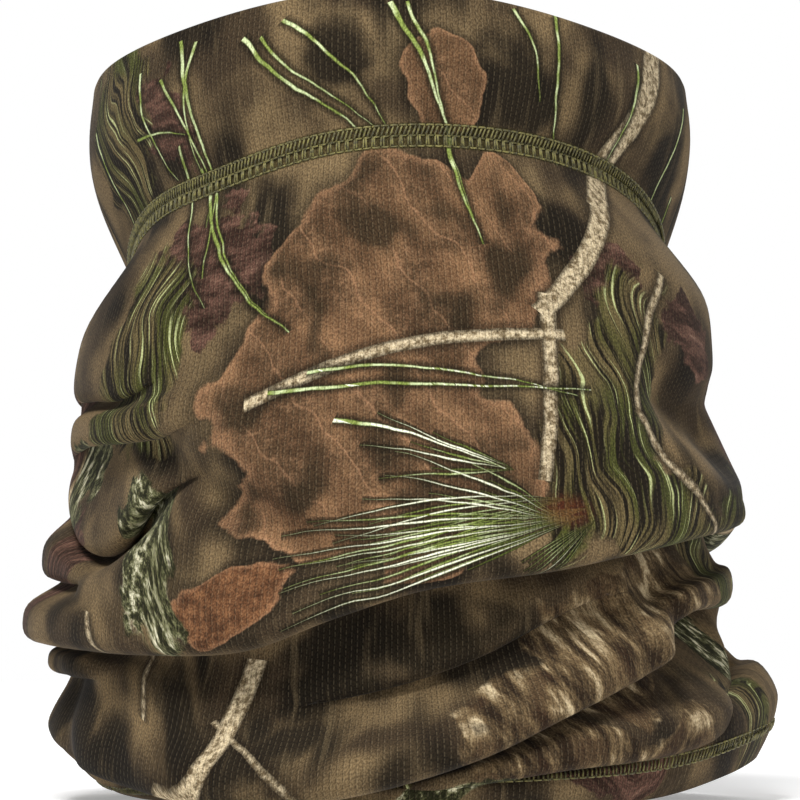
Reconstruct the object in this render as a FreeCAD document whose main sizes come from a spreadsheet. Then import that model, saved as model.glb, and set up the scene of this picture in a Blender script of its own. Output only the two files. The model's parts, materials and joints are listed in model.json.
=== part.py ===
import FreeCAD, Part
import os

# A knitted neck gaiter standing on its hem: a tube of fabric, bunched into soft rolls at the
# bottom, drawn in at a tilted seam, and topped by a folded face panel. Millimetres.
# Origin: centre of the footprint. +Z is up, the face side looks along -Y.

os.makedirs("parts", exist_ok=True)
doc = FreeCAD.newDocument("neck_gaiter")

# ---------------------------------------------------------------- driving dimensions

SIZES = [
    ("fabric_thickness", 1.0, "one layer of brushed knit"),
    ("seam_pitch", 22, "degrees by which the seam plane rises towards the face"),
    ("seam_flare", 0.19, "growth of the tube's radius away from the seam plane"),
    ("seam_zone", 4, "how far that steady flare runs, each side of the seam plane"),
    ("seam_gap", 0.3, "clearance between the two panels' butted edges"),
    ("top_pitch", 16.4, "degrees by which the face opening rises towards the face"),
    ("hem_turn_up", 13, "height of the turned-up hem"),
    ("hem_line_height", 8, "the hem's lower needle line above the floor"),
    ("thread_thickness", 0.35, "how far a stitch stands off the fabric"),
    ("thread_gap", 0.12, "clearance between stitch and fabric"),
    ("needle_width", 0.5, "one needle line seen flat"),
    ("needle_pitch", 2.6, "from one needle line to the next"),
    ("line_gap", 0.1, "clearance between a needle line and the cover thread"),
    ("label_width", 18, "care label across"),
    ("label_length", 24, "care label, top to bottom"),
    ("label_thickness", 0.4, "woven care label"),
    ("label_base", 114, "care label's lower edge above the floor"),
    ("label_stand_off", 1.9, "from the panel's inner face to the label"),
    ("label_tilt", 7, "degrees by which the label leans back with the panel behind it"),
]

# station: height at the axis, half width, half depth, degrees of sideways lean
STATIONS = [
    ("hem", 0, 83, 85.2, 0),
    ("hem_top", 13, 88, 89.2, 0),
    ("low_roll", 24, 94.5, 95.5, 0),
    ("low_gap", 37, 86.5, 89, -4),
    ("belly_lip", 50, 89.5, 95, -5),
    ("belly", 68, 85.5, 91, -4),
    ("upper_gap", 86, 82.5, 87, -2.5),
    ("shoulder", 107, 80.5, 85, -2.5),
    ("throat", 124, 74, 81, -2.5),
    ("seam", 136.5, 67.6, 77.4, -2.5),
    ("face_low", 150, 72.5, 79, -2),
    ("face_mid", 163, 76.2, 81.5, -1.5),
    ("face_high", 172, 76.6, 82, -1),
    ("face_top", 179.5, 75.6, 81, -1),
]
STATION_FIELDS = ("height", "width", "depth", "lean")
STATION_HEIGHTS = {name: height for name, height, *_ in STATIONS}
MAIN_STATIONS = [name for name, height in STATION_HEIGHTS.items() if height < STATION_HEIGHTS["seam"]]
FACE_STATIONS = [name for name, height in STATION_HEIGHTS.items() if height > STATION_HEIGHTS["seam"]]


def fill_sheet():
    """Write every driving dimension into the sheet, one row each."""
    sheet = doc.addObject("Spreadsheet::Sheet", "sizes")
    rows = list(SIZES)
    for name, *values in STATIONS:
        for field, value in zip(STATION_FIELDS, values):
            rows.append((f"{name}_{field}", value, f"station {name}: {field}"))
    for number, (alias, value, note) in enumerate(rows, 1):
        sheet.set(f"A{number}", alias)
        sheet.set(f"B{number}", str(value))
        sheet.set(f"C{number}", note)
        sheet.setAlias(f"B{number}", alias)
    doc.recompute()


fill_sheet()


# ---------------------------------------------------------------- building blocks

def ellipse(name, width, depth, frame):
    """An ellipse with half sizes width along X and depth along Y, the larger, in a frame."""
    ring = doc.addObject("Part::Ellipse", name)
    ring.setExpression("MajorRadius", depth)
    ring.setExpression("MinorRadius", width)
    ring.setExpression("Placement", f"{frame} * placement(vector(0; 0; 0); rotationz(90))")
    return ring


def loft(sections, name, solid=True):
    """Straight walls through closed sections, as a filled solid or as an open surface."""
    walls = doc.addObject("Part::Loft", name)
    walls.Sections = sections
    walls.Solid = solid
    walls.Ruled = True
    return walls


def cut(shape, tool, name):
    """A shape less another."""
    piece = doc.addObject("Part::Cut", name)
    piece.Base = shape
    piece.Tool = tool
    return piece


def group(shapes, name):
    """Separate solids that share one node."""
    bundle = doc.addObject("Part::Compound", name)
    bundle.Links = shapes
    return bundle


def block(name, size, frame, corner):
    """A box given by expressions, its lowest corner measured in a frame."""
    box = doc.addObject("Part::Box", name)
    for side, length in zip(("Length", "Width", "Height"), size):
        box.setExpression(side, length)
    shift = "vector(" + "; ".join(corner) + ")"
    box.setExpression("Placement", f"{frame} * placement({shift}; rotationz(0))")
    return box


def sub_part(shape, label):
    """Name a finished sub-part; its label is its node and its file."""
    shape.Label = label
    PARTS.append(shape)


PARTS = []
LEVEL = "placement(vector(0; 0; 0); rotationz(0))"
SEAM = "placement(vector(0; 0; sizes.seam_height); " \
       "rotationy(sizes.seam_lean) * rotationx(-sizes.seam_pitch))"


# ---------------------------------------------------------------- the tube's skins

def pitch_of(station):
    """Expression for a station's forward tilt: none at the hem, the seam's at the seam."""
    if STATION_HEIGHTS[station] <= STATION_HEIGHTS["seam"]:
        return f"(sizes.seam_pitch * (sizes.{station}_height / sizes.seam_height) ^ 2)"
    rise = f"(sizes.{station}_height - sizes.seam_height)"
    rise += " / (sizes.face_top_height - sizes.seam_height)"
    return f"(sizes.seam_pitch + (sizes.top_pitch - sizes.seam_pitch) * {rise})"


def seam_radii(level):
    """Half sizes of the tube in the seam's frame, at a signed distance from the seam plane."""
    flare = f"abs({level}) * sizes.seam_flare"
    return f"sizes.seam_width + {flare}", f"sizes.seam_depth / cos(sizes.seam_pitch * 1 deg) + {flare}"


def outline(station):
    """Frame, half width and half depth of the tube's ellipse at a station or a seam level."""
    if station in STATION_HEIGHTS:
        pitch = pitch_of(station)
        turn = f"rotationy(sizes.{station}_lean) * rotationx(-{pitch})"
        frame = f"placement(vector(0; 0; sizes.{station}_height); {turn})"
        return frame, f"sizes.{station}_width", f"sizes.{station}_depth / cos({pitch} * 1 deg)"
    frame = f"{SEAM} * placement(vector(0; 0; {station}); rotationz(0))"
    return (frame, *seam_radii(station))


def skin(stations, offsets, name):
    """An open surface through stations, each standing off by its expression."""
    sections = []
    for number, (station, offset) in enumerate(zip(stations, offsets)):
        frame, width, depth = outline(station)
        ring = ellipse(f"{name}_{number}", f"{width} + {offset}", f"{depth} + {offset}", frame)
        sections.append(ring)
    return loft(sections, name, solid=False)


def rims(surface):
    """The two closed edges of an open tube surface, the lower first."""
    closed = [edge for edge in surface.Shape.Edges if edge.isClosed()]
    return sorted(closed, key=lambda edge: edge.CenterOfMass.z)


def panel(outer, inner, label):
    """Close an outer and an inner surface into one wall of fabric with flat cut edges."""
    doc.recompute()
    faces = outer.Shape.Faces + inner.Shape.Faces
    for outer_rim, inner_rim in zip(rims(outer), rims(inner)):
        ring = [Part.Wire(outer_rim), Part.Wire(inner_rim)]
        faces.append(Part.makeFace(ring, "Part::FaceMakerBullseye"))
    shell = Part.makeShell(faces)
    shell.sewShape()
    wall = Part.makeSolid(shell)
    piece = doc.addObject("Part::Feature", f"{label}_wall")
    piece.Shape = wall
    sub_part(piece, label)


ONE_LAYER = "sizes.fabric_thickness"
TWO_LAYERS = "2 * sizes.fabric_thickness"
HALF_GAP = "sizes.seam_gap / 2"


MAIN_OUTLINES = [*MAIN_STATIONS, "-sizes.seam_zone", f"-{HALF_GAP}"]
FACE_OUTLINES = [HALF_GAP, "sizes.seam_zone", *FACE_STATIONS]


def make_main_panel():
    """One layer of fabric from the seam down, turned up into two layers at the hem."""
    layers = [TWO_LAYERS if station.startswith("hem") else ONE_LAYER for station in MAIN_OUTLINES]
    outer = skin(MAIN_OUTLINES, ["0"] * len(layers), "main_outer")
    inner = skin(MAIN_OUTLINES, [f"-{layer}" for layer in layers], "main_inner")
    panel(outer, inner, "main_panel")


def make_face_panel():
    """The face panel, folded over at its top edge, so two layers all over."""
    outer = skin(FACE_OUTLINES, ["0"] * len(FACE_OUTLINES), "face_outer")
    inner = skin(FACE_OUTLINES, [f"-{TWO_LAYERS}"] * len(FACE_OUTLINES), "face_inner")
    panel(outer, inner, "face_panel")


make_main_panel()
make_face_panel()

# ---------------------------------------------------------------- stitches round the tube

OUTSIDE = "sizes.thread_gap"
BAND_HALF = "(sizes.needle_pitch + sizes.needle_width / 2)"
COVER_EDGE = "(sizes.needle_width / 2 + sizes.line_gap)"
COVER_WIDTH = f"(sizes.needle_pitch - 2 * {COVER_EDGE})"
NEEDLE_EDGE = "sizes.needle_width / 2"


def hem_radii(level):
    """Half sizes of the tube at a height inside the turned-up hem."""
    share = f"({level}) / sizes.hem_top_height"
    return tuple(f"sizes.hem_{side} + (sizes.hem_top_{side} - sizes.hem_{side}) * {share}"
                 for side in ("width", "depth"))


def band(name, low, width, frame, radii, stand_off):
    """A thin band round the tube from low to low + width, a stitch thick."""
    skins = []
    for side, offset in (("in", stand_off), ("out", f"{stand_off} + sizes.thread_thickness")):
        rings = []
        for end, level in (("low", low), ("high", f"{low} + {width}")):
            half_width, half_depth = radii(level)
            place = f"{frame} * placement(vector(0; 0; {level}); rotationz(0))"
            rings.append(ellipse(f"{name}_{side}_{end}", f"{half_width} + {offset}",
                                 f"{half_depth} + {offset}", place))
        skins.append(loft(rings, f"{name}_{side}"))
    inner, outer = skins
    return cut(outer, inner, name)


def ring_stitches(name, base, lines, frame, radii):
    """Parallel needle lines round the tube, with the cover thread's bands between them."""
    needles = []
    covers = []
    for number in range(lines):
        line = f"({base} + {number} * sizes.needle_pitch)"
        needles.append(band(f"{name}_needle_{number}", f"{line} - {NEEDLE_EDGE}",
                            "sizes.needle_width", frame, radii, OUTSIDE))
        if number + 1 < lines:
            covers.append(band(f"{name}_cover_{number}", f"{line} + {COVER_EDGE}",
                               COVER_WIDTH, frame, radii, OUTSIDE))
    sub_part(group(needles, f"{name}_needles"), f"{name}_needle_threads")
    sub_part(group(covers, f"{name}_covers"), f"{name}_cover_thread")


def make_face_seam():
    """Three needle lines, the cover thread outside and the looper thread inside."""
    ring_stitches("face_seam", "-sizes.needle_pitch", 3, SEAM, seam_radii)
    reach = f"{BAND_HALF} - sizes.seam_gap"
    loopers = []
    for side, low, layers in (("low", f"-{BAND_HALF}", ONE_LAYER), ("high", "sizes.seam_gap", TWO_LAYERS)):
        stand_off = f"-({layers} + sizes.thread_gap + 2 * sizes.thread_thickness)"
        loopers.append(band(f"face_seam_looper_{side}", low, reach, SEAM, seam_radii, stand_off))
    sub_part(group(loopers, "face_seam_loopers"), "face_seam_looper_thread")


def make_hem_stitches():
    """The hem's two needle lines, the cover thread between them and the looper inside."""
    ring_stitches("hem", "sizes.hem_line_height", 2, LEVEL, hem_radii)
    looper = band("hem_looper", f"sizes.hem_line_height - {NEEDLE_EDGE}",
                  "sizes.needle_pitch + sizes.needle_width", LEVEL, hem_radii,
                  f"-({TWO_LAYERS} + sizes.thread_gap + sizes.thread_thickness)")
    sub_part(looper, "hem_looper_thread")


make_face_seam()
make_hem_stitches()

# ---------------------------------------------------------------- upright back seams


def back_strip(name, stations, low, width, stand_off):
    """A thin strip up the back of the tube through stations, from low to low + width in X."""
    sections = []
    for number, station in enumerate(stations):
        frame, _, depth = outline(station)
        plate = doc.addObject("Part::Plane", f"{name}_{number}")
        plate.setExpression("Length", width)
        plate.setExpression("Width", "sizes.thread_thickness")
        corner = f"placement(vector({low}; {depth} + {stand_off}; 0); rotationz(0))"
        plate.setExpression("Placement", f"{frame} * {corner}")
        sections.append(plate)
    return loft(sections, name)


def make_back_seam(panel, stations, inner_stations, layers):
    """The upright seam that closes a panel into a tube, three needle lines wide."""
    name = f"{panel}_back_seam"
    stand_off = "2 * sizes.thread_gap"
    needles = []
    covers = []
    for number in range(3):
        line = f"({number} - 1) * sizes.needle_pitch"
        needles.append(back_strip(f"{name}_needle_{number}", stations,
                                  f"{line} - {NEEDLE_EDGE}", "sizes.needle_width", stand_off))
        if number < 2:
            covers.append(back_strip(f"{name}_cover_{number}", stations,
                                     f"{line} + {COVER_EDGE}", COVER_WIDTH, stand_off))
    sub_part(group(needles, f"{name}_needles"), f"{name}_needle_threads")
    sub_part(group(covers, f"{name}_covers"), f"{name}_cover_thread")
    inside = f"-({layers} + 2 * sizes.thread_gap + sizes.thread_thickness)"
    looper = back_strip(f"{name}_looper", inner_stations, f"-{BAND_HALF}", f"2 * {BAND_HALF}", inside)
    sub_part(looper, f"{name}_looper_thread")


MAIN_BACK = [station for station in MAIN_STATIONS if station != "hem"] + ["-sizes.seam_zone"]
FACE_BACK = ["sizes.seam_zone", *FACE_STATIONS]
make_back_seam("main", MAIN_BACK, MAIN_BACK[1:], ONE_LAYER)
make_back_seam("face", FACE_BACK, FACE_BACK, TWO_LAYERS)

# ---------------------------------------------------------------- care label


def make_care_label():
    """A blank label inside the face panel, over the back seam, and its two tack stitches."""
    wall = f"sizes.face_low_depth - {TWO_LAYERS}"
    place = f"vector(0; {wall} - sizes.label_stand_off; sizes.label_base)"
    frame = f"placement({place}; rotationx(-sizes.label_tilt))"
    half = "sizes.label_width / 2"
    size = ("sizes.label_width", "sizes.label_thickness", "sizes.label_length")
    sub_part(block("label", size, frame, (f"-{half}", "-sizes.label_thickness", "0")), "care_label")
    tacks = []
    for side, left in (("left", f"-{half}"), ("right", f"{half} - sizes.label_width / 4")):
        corner = (left, "-sizes.label_thickness - sizes.thread_gap - sizes.thread_thickness",
                  "sizes.label_length - sizes.needle_pitch")
        bar = ("sizes.label_width / 4", "sizes.thread_thickness", "sizes.needle_width")
        tacks.append(block(f"tack_{side}", bar, frame, corner))
    sub_part(group(tacks, "label_tacks"), "care_label_stitches")


make_care_label()

# ---------------------------------------------------------------- check and write


def finish():
    """Stop on any failed object or shape, then write one file for each sub-part."""
    doc.recompute()
    for item in doc.Objects:
        if "Invalid" in item.State or "Error" in item.State:
            raise RuntimeError(f"{item.Name} failed: {item.State}")
    for piece in PARTS:
        if piece.Shape.isNull() or not piece.Shape.isValid() or not piece.Shape.Solids:
            raise RuntimeError(f"{piece.Label} is not a valid solid")
    for piece in PARTS:
        piece.Shape.exportStep(f"parts/{piece.Label}.step")
        box = piece.Shape.BoundBox
        spans = (box.XMin, box.XMax, box.YMin, box.YMax, box.ZMin, box.ZMax)
        print(piece.Label, len(piece.Shape.Solids), round(piece.Shape.Volume / 1000, 2), "cm3",
              [round(value, 1) for value in spans])


finish()
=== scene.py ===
import json
import math
import bpy
import numpy as np
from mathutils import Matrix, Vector


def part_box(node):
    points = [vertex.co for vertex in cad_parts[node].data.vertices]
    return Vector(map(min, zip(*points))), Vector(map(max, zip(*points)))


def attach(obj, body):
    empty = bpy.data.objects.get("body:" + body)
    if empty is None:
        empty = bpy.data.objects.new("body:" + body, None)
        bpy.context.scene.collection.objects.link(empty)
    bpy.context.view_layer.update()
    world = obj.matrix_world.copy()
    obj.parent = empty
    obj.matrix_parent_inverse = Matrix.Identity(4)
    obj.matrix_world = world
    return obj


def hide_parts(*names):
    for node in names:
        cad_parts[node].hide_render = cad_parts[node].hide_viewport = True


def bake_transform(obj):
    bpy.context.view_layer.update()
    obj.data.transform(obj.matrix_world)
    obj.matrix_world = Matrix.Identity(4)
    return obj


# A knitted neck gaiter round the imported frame: two printed panels of soft fabric, the stitches
# that join and hem them, and a care label. Shapes are worked out in millimetres and written in
# metres. Azimuth 0 is the face side (-Y) and grows towards +X.

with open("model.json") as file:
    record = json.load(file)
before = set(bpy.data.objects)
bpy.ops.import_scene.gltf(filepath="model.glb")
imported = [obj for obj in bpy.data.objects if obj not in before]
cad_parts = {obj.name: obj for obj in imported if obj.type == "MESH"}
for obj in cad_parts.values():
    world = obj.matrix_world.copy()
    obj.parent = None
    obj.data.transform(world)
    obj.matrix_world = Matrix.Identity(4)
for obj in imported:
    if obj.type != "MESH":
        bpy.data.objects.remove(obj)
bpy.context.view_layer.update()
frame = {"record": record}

MM = 0.001
GIRTH = 480.0           # mm round the flat-cut tube
FABRIC = 0.9            # mm, one layer of brushed knit
COLUMNS = 208           # mesh columns round the tube
MAIN_ROWS = 4           # mesh rows to each control point down the main panel
FACE_ROWS = 6           # the same for the face panel
RIM_ROWS = 4            # mesh rows over a rounded edge
SIDE_SHIFT = 2.6        # mm, how far the face panel's centre stands to -X
SHIFT_FROM = 120.0      # mm, the height where that shift starts
SHIFT_OVER = 45.0       # mm, the height it takes to reach the whole of it
FLOOR_GAP = 0.1         # mm, the hem's least height above the floor
TURN_UP = 13.0          # mm, depth of the turned-up hem
SLIT = 0.08             # mm between the two layers of the face panel
BACK = 0.0              # share of a turn round the tube at the middle of the back

# ------------------------------------------------------------------ shape of the tube

# The face seam and the face opening: half width and half depth of the tube there, its middle
# height, and how far it rises at the face and falls at the back (mm).
SEAM_HALF = (67.6, 77.0)
SEAM_MIDDLE = 136
SEAM_TILT = 31.3
SEAM_LEAN = 3           # mm, up towards +X
SEAM_DIP = (-35, 20, 3.0)   # a shallow dip: azimuth, half width in degrees, depth
TOP_HALF = (75.5, 80.5)
TOP_MIDDLE = 178
TOP_TILT = 24.6
TOP_SAG = 3             # mm, down between the front, the sides and the back

# The rolls of the main panel, from the seam down. Each knot: azimuth in degrees, height of the
# roll's lowest line, radius of its crest, and how far the fabric tucks in beneath it (mm).
ROLLS = {
    "brow": [
        (-140, 94, 84, 5), (-110, 99, 83, 3), (-90, 102, 82.5, 3), (-70, 103, 84, 7),
        (-52, 104, 86, 4), (-35, 114, 85, 0), (0, 136, 84, 0), (30, 128, 84, 0),
        (52, 114, 85, 0), (68, 110, 83, 0), (90, 110, 79.5, 0), (120, 98, 82, 5), (180, 93, 83, 6),
    ],
    "crease": [
        (-140, 83, 85, 5), (-110, 86, 84, 2), (-90, 88, 83.5, 2), (-72, 91.5, 85, 7),
        (-52, 92.8, 88, 7), (-40, 95, 89, 4), (-28, 101, 88, 0), (0, 116, 87, 0),
        (35, 106, 87, 0), (60, 101, 82, 0), (90, 100, 77.3, 0), (120, 86, 84, 5), (180, 82, 84, 7),
    ],
    "tab": [
        (-140, 72, 87, 6), (-110, 77, 84, 4), (-90, 76, 84, 4), (-75, 66, 83.5, 8),
        (-60, 65, 84, 9), (-48, 76, 86, 7), (-38, 84, 89, 3), (-25, 88, 90, 0), (0, 97, 89, 0),
        (40, 93, 89, 0), (70, 89, 85, 0), (90, 89, 82.5, 0), (120, 75, 86, 5), (180, 71, 85, 7),
    ],
    "lump": [
        (-140, 60, 88, 7), (-110, 58, 91, 7), (-90, 58, 90.5, 7), (-76, 57, 87, 6),
        (-62, 58, 88, 0), (-30, 70, 91, 0), (0, 80, 91, 0), (40, 83, 91, 0), (70, 81, 88, 0),
        (90, 80, 86.5, 0), (120, 66, 87, 5), (180, 61, 86, 7),
    ],
    "lip": [
        (-140, 47, 91, 10), (-110, 43, 95, 12), (-90, 42, 95.5, 13), (-70, 41, 93, 14),
        (-45, 40, 92, 15), (-26, 41.5, 92, 15), (-10, 50, 92.5, 16), (5, 57, 92.5, 16),
        (25, 61, 92, 16), (45, 66, 91, 15), (65, 69.5, 88.5, 13), (90, 71, 86, 10),
        (110, 64, 86, 9), (140, 55, 87, 8), (180, 50, 88, 8),
    ],
    "hidden": [
        (-140, 38, 86, 5), (-110, 35, 88, 6), (-90, 34.5, 89, 6), (-72, 33.5, 87, 5),
        (-58, 33, 84, 1), (-35, 28, 81, 0), (-18, 28, 79, 3), (0, 33, 79, 5), (15, 40, 79.5, 6),
        (30, 50, 80, 5), (48, 58, 79, 2), (65, 62, 78, 0), (90, 64.5, 78, 0), (110, 57, 80, 2),
        (140, 46, 84, 5), (180, 40, 85, 5),
    ],
    "sweep": [
        (-140, 20, 89, 9), (-110, 19, 90, 2), (-90, 19, 90.5, 0), (-65, 10, 88, 6),
        (-35, 3, 89, 14), (-15, 4, 89.5, 12), (0, 8.5, 89.5, 12), (15, 16, 90, 12),
        (28, 25, 90.5, 12), (38, 31, 89.5, 12), (47, 36.5, 88.5, 14), (52, 43, 87.5, 20),
        (58, 49, 87, 24), (68, 50.5, 86, 22), (80, 51, 84.5, 12), (90, 54, 84, 3),
        (110, 48, 84, 8), (140, 38, 87, 8), (180, 28, 88, 8),
    ],
    "lobe": [
        (-140, 12, 84, 5), (-110, 7, 81, 0), (-90, 7, 80, 0), (-65, 3.5, 76, 0), (-30, 5, 72, 1),
        (0, 6, 80, 4), (15, 9, 85.5, 7), (30, 12, 88, 11), (50, 14.5, 89.5, 13),
        (65, 18, 89.5, 14), (76, 23, 86, 11), (90, 41, 80.5, 0), (110, 38, 80, 2),
        (140, 26, 84, 6), (180, 17, 87, 7),
    ],
}
# The lowest roll ends in the hem. Each knot: azimuth, height and radius of its crest, height and
# radius of the hem's folded edge (mm).
HEM = [
    (-140, 8, 84, 1.5, 80), (-90, 3, 74, 1, 68), (-30, 3, 74, 1, 70), (0, 5, 81, 1, 78),
    (25, 6.5, 84.5, 1, 82), (50, 10.5, 86.5, 3, 83.5), (72, 20, 92, 8, 87.5), (90, 25, 96.5, 11, 91),
    (115, 20, 93, 7, 89), (150, 12, 90, 2, 86), (180, 10, 89, 1.5, 85),
]

MM_PER_DEGREE = 1.45    # mm round the tube to a degree of azimuth
# Creases (negative) and swells (positive): azimuth and height of both ends, half width, push (mm).
CREASES = [
    ((-42, 86), (-8, 62), 6.5, -5.5),
    ((-14, 92), (16, 66), 7, -2.0),
    ((24, 78), (52, 92), 6, -1.8),
    ((-48, 56), (-20, 50), 6, 1.6),
    ((-34, 98), (10, 74), 9, 2.0),
    ((43, 54), (48, 38), 3.5, 3.0),
    ((52, 52), (56, 40), 3.5, -3.0),
    ((36, 20), (66, 26), 4, 1.5),
    ((54, 102), (66, 92), 8, -4.5),
    ((38, 104), (50, 84), 6, -2.0),
    ((44, 92), (75, 76), 8, 2.0),
    ((-58, 24), (-52, 8), 9, -1.5),
    ((-10, 22), (22, 34), 7, -2.0),
    ((-78, 28), (-72, 12), 5, -2.0),
    ((-20, 150), (-50, 128), 9, -1.5),
    ((20, 146), (52, 122), 9, -1.2),
    ((140, 100), (175, 60), 9, -3),
    ((-165, 96), (-130, 60), 9, -3),
]


def around(knots, azimuth):
    """Smooth periodic curves through knots (azimuth, values...), sampled at azimuths."""
    knots = np.array(sorted(knots), float)
    turn = np.array([360.0] + [0.0] * (knots.shape[1] - 1))
    table = np.vstack([knots[-2:] - turn, knots, knots[:2] + turn])
    x, y = table[:, 0], table[:, 1:]
    slope = np.zeros_like(y)
    slope[1:-1] = (y[2:] - y[:-2]) / (x[2:] - x[:-2])[:, None]
    at = (np.asarray(azimuth, float) - x[1]) % 360.0 + x[1]
    low = np.clip(np.searchsorted(x, at, side="right") - 1, 1, len(x) - 3)
    span = (x[low + 1] - x[low])[:, None]
    part = ((at - x[low])[:, None]) / span
    h00 = 2 * part**3 - 3 * part**2 + 1
    h10 = part**3 - 2 * part**2 + part
    h01 = -2 * part**3 + 3 * part**2
    h11 = part**3 - part**2
    return h00 * y[low] + h10 * span * slope[low] + h01 * y[low + 1] + h11 * span * slope[low + 1]


def smooth_step(value):
    """0 below 0, 1 above 1, and a smooth rise between."""
    value = np.clip(value, 0.0, 1.0)
    return value * value * (3 - 2 * value)


def ellipse_radius(azimuth, half_width, half_depth):
    """Distance from the axis to an ellipse, by azimuth."""
    angle = np.radians(azimuth)
    across = half_depth * np.sin(angle)
    along = half_width * np.cos(angle)
    return half_width * half_depth / np.hypot(across, along)


FULL_FOLD = 6.0         # mm of tuck from which a roll is wholly folded over
CREST_RISE = 9.0        # mm, the most that a roll's crest stands above its lowest line
TUCK_RISE = 5.0         # mm, the most that the cloth climbs again behind the roll
PLAIN_SHARES = (0.42, 0.25, 0.08)   # places on the way to the next roll where nothing is folded


def roll_points(before, roll, after):
    """Six control points down one roll: two on its crest, lip out and in, tuck up and down.

    Each roll is (height, radius, depth) by azimuth. Where the depth runs out, the points spread
    evenly along the straight lines to the rolls before and after."""
    height, radius, depth = roll
    above = np.maximum(before[0] - height, 1.0)
    below = np.maximum(height - after[0], 1.0)
    depth = np.maximum(depth, 0.0)
    folded = smooth_step(depth / FULL_FOLD)
    crest = np.minimum(CREST_RISE, 0.6 * above)
    shape = [(0, crest), (0.8, 0.5 * crest), (1.0, -1), (-0.55 * depth, -2.5),
             (-depth, np.minimum(TUCK_RISE, 0.35 * above)), (-depth, -2 * np.ones_like(depth))]
    tuck = before[1] - np.maximum(before[2], 0.0)
    plain = [(share * (tuck - radius), share * above) for share in PLAIN_SHARES]
    plain += [(share * (after[1] - radius), -share * below) for share in PLAIN_SHARES[::-1]]
    points = []
    for (out, up), (flat_out, flat_up) in zip(shape, plain):
        r = radius + folded * out + (1 - folded) * flat_out
        z = height + folded * up + (1 - folded) * flat_up
        points.append((r, z))
    return points


def seam_points(azimuth):
    """Radius and height of the face seam at each azimuth."""
    angle = np.radians(azimuth)
    radius = ellipse_radius(azimuth, *SEAM_HALF)
    middle, width, depth = SEAM_DIP
    dip = depth * np.exp(-(((azimuth - middle) / width) ** 2))
    height = SEAM_MIDDLE + SEAM_TILT * np.cos(angle) + SEAM_LEAN * np.sin(angle) - dip
    return radius, height


def top_points(azimuth):
    """Radius and height of the face opening at each azimuth."""
    angle = np.radians(azimuth)
    radius = ellipse_radius(azimuth, *TOP_HALF)
    height = TOP_MIDDLE + TOP_TILT * np.cos(angle) - TOP_SAG * np.sin(2 * angle) ** 2
    return radius, height


def b_spline(points, per_span):
    """Rows down a uniform cubic B-spline through a list of (radii, heights), its ends held."""
    points = [np.stack(point, axis=1) for point in points]
    ends = [2 * points[0] - points[1]] + points + [2 * points[-1] - points[-2]]
    rows = []
    for start in range(len(ends) - 3):
        a, b, c, d = ends[start:start + 4]
        steps = per_span + (1 if start == len(ends) - 4 else 0)
        for step in range(steps):
            t = step / per_span
            rows.append(((1 - t) ** 3 * a + (3 * t**3 - 6 * t**2 + 4) * b
                         + (-3 * t**3 + 3 * t**2 + 3 * t + 1) * c + t**3 * d) / 6)
    return np.array(rows)


def main_profile(azimuth):
    """Rows x azimuths x (radius, height) of the main panel's outer face, from the seam down."""
    radius, height = seam_points(azimuth)
    rolls = [around(knots, azimuth).T for knots in ROLLS.values()]
    crest_z, crest_r, edge_z, edge_r = around(HEM, azimuth).T
    first_z, first_r, _ = rolls[0]
    top = first_z + np.minimum(CREST_RISE, 0.4 * (height - first_z))
    points = [(radius, height), (radius + 0.3, height - 3.5)]
    for share, out in ((0.3, 0.35), (0.62, 0.86)):
        points.append((radius + out * (first_r - radius), height + share * (top - height)))
    start = (height - 0.2 * (height - first_z), points[-1][0], 0.0)
    steps = [start, *rolls, (crest_z, crest_r)]
    for before, roll, after in zip(steps, steps[1:], steps[2:]):
        points += roll_points(before, roll, after)
    rise = np.clip(crest_z - 3, 1, 12)
    points += [(crest_r - 0.45 * rise, crest_z + rise), (crest_r, crest_z + 0.3 * rise),
               (crest_r, crest_z), (0.5 * (crest_r + edge_r) + 1, 0.5 * (crest_z + edge_z)),
               (edge_r, edge_z)]
    profile = b_spline(points, MAIN_ROWS)
    profile[..., 0] += creases(azimuth[None, :], profile[..., 1])
    return profile


def creases(azimuth, height):
    """Radial push of the shallow slanting creases and swells, in mm."""
    push = np.zeros(np.broadcast(azimuth, height).shape)
    for start, end, width, depth in CREASES:
        x = azimuth * MM_PER_DEGREE
        x0, x1 = start[0] * MM_PER_DEGREE, end[0] * MM_PER_DEGREE
        length = math.hypot(x1 - x0, end[1] - start[1])
        along_x, along_z = (x1 - x0) / length, (end[1] - start[1]) / length
        along = (x - x0) * along_x + (height - start[1]) * along_z
        across = (x - x0) * along_z - (height - start[1]) * along_x
        beyond = np.maximum(np.maximum(-along, along - length), 0)
        push += depth * np.exp(-(across / width) ** 2 - (beyond / (1.5 * width)) ** 2)
    return push


def face_profile(azimuth):
    """Rows x azimuths x (radius, height) of the face panel's outer face, from the seam up."""
    radius, height = seam_points(azimuth)
    top_r, top_z = top_points(azimuth)
    points = [(radius, height)]
    for share, out in ((0.08, 0.3), (0.25, 2.0), (0.5, 4.4), (0.75, 3.4), (0.92, 1.0), (1.0, 0.0)):
        points.append((radius + share * (top_r - radius) + out, height + share * (top_z - height)))
    return b_spline(points, FACE_ROWS)


def place(profile, azimuth):
    """Profile rows (radius, height) to points in mm."""
    angle = np.radians(azimuth)[None, :]
    r, z = profile[..., 0], np.maximum(profile[..., 1], FLOOR_GAP)
    shift = -SIDE_SHIFT * smooth_step((z - SHIFT_FROM) / SHIFT_OVER)
    return np.stack([r * np.sin(angle) + shift, -r * np.cos(angle), z], axis=2)


# ------------------------------------------------------------------ fabric with a thickness

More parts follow.
